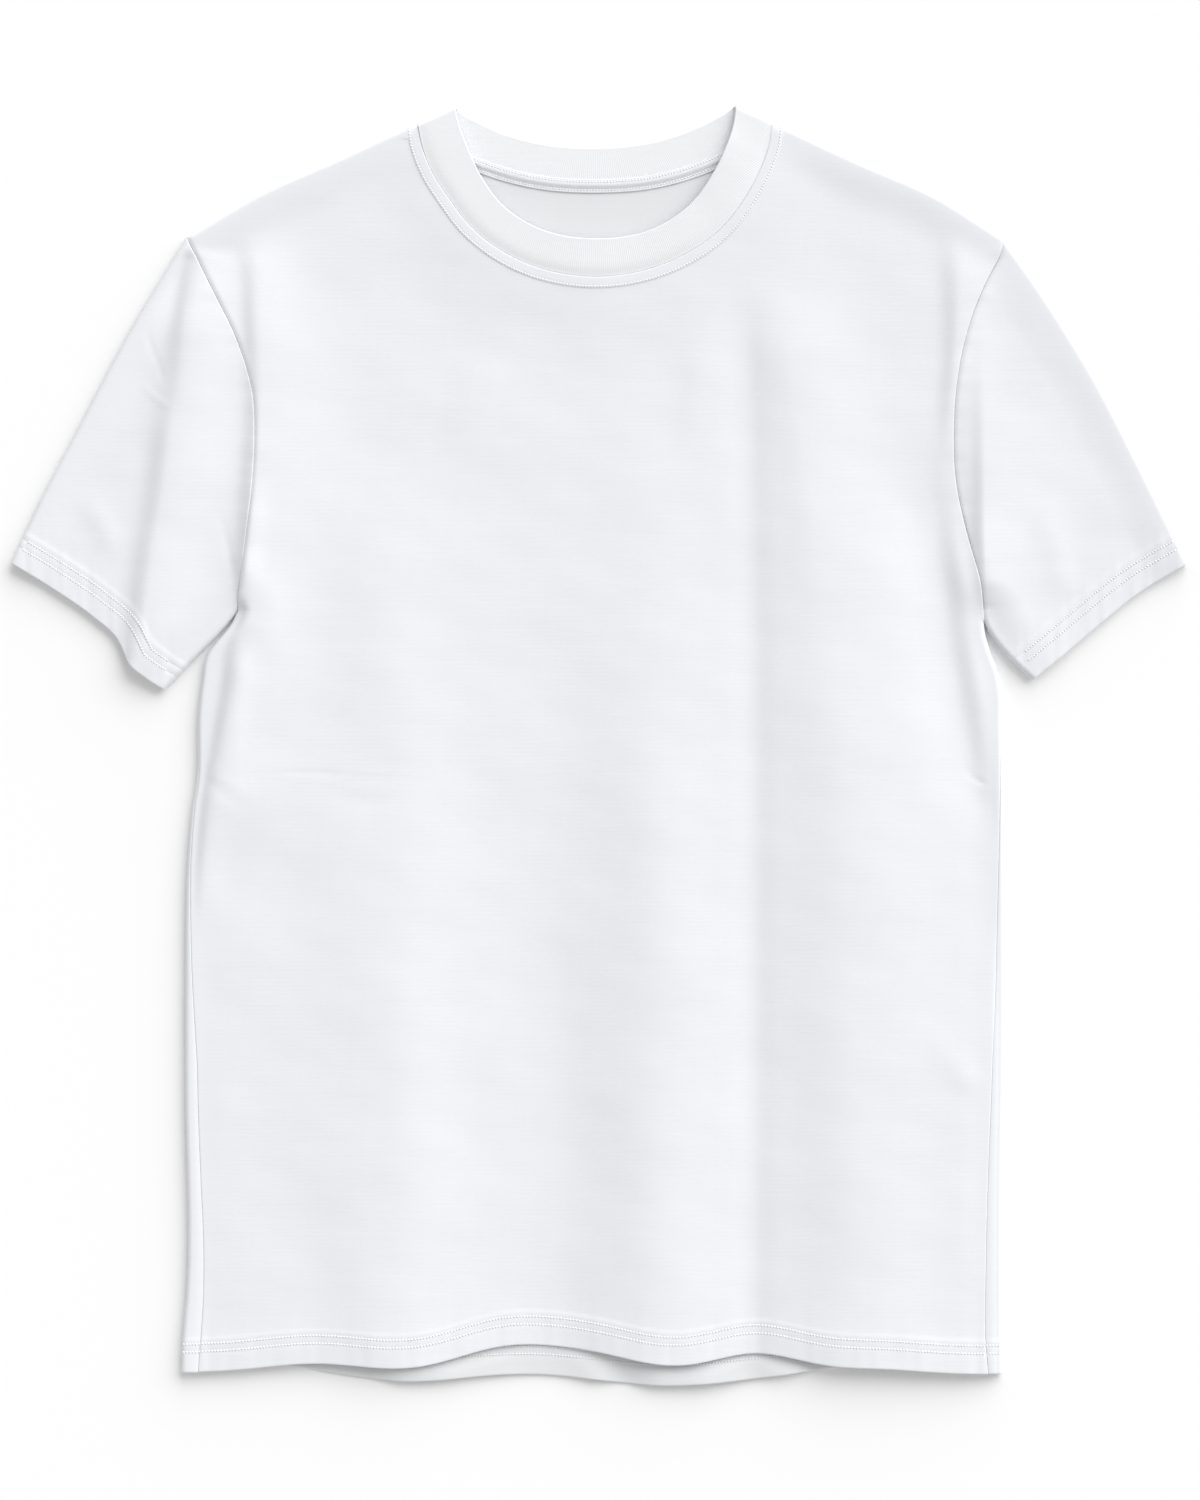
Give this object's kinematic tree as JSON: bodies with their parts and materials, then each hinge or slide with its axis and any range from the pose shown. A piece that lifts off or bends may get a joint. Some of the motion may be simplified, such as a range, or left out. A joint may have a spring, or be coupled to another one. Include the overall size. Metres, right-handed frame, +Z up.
{
  "type": "t-shirt",
  "caption": "Crew neck short-sleeved t-shirt lying flat, front up, with ribbed neckband, back-neck tape, soft long folds and turned-up hem and cuffs.",
  "frame": {"origin": "centre of the bounding box in plan, at the underside that the shirt rests on", "axes": "+Z up from the surface, +Y from the hem to the neck, +X to the wearer's left"},
  "size_m": [0.7061, 0.767, 0.0107],
  "materials": {
    "jersey": "matte white cotton jersey",
    "rib": "matte white cotton rib knit",
    "tape": "matte white cotton tape"
  },
  "bodies": {
    "root": {"front_body": "jersey", "back_body": "jersey", "sleeve_right": "jersey", "sleeve_left": "jersey", "neckband": "rib", "neck_tape": "tape"}
  },
  "joints": []
}
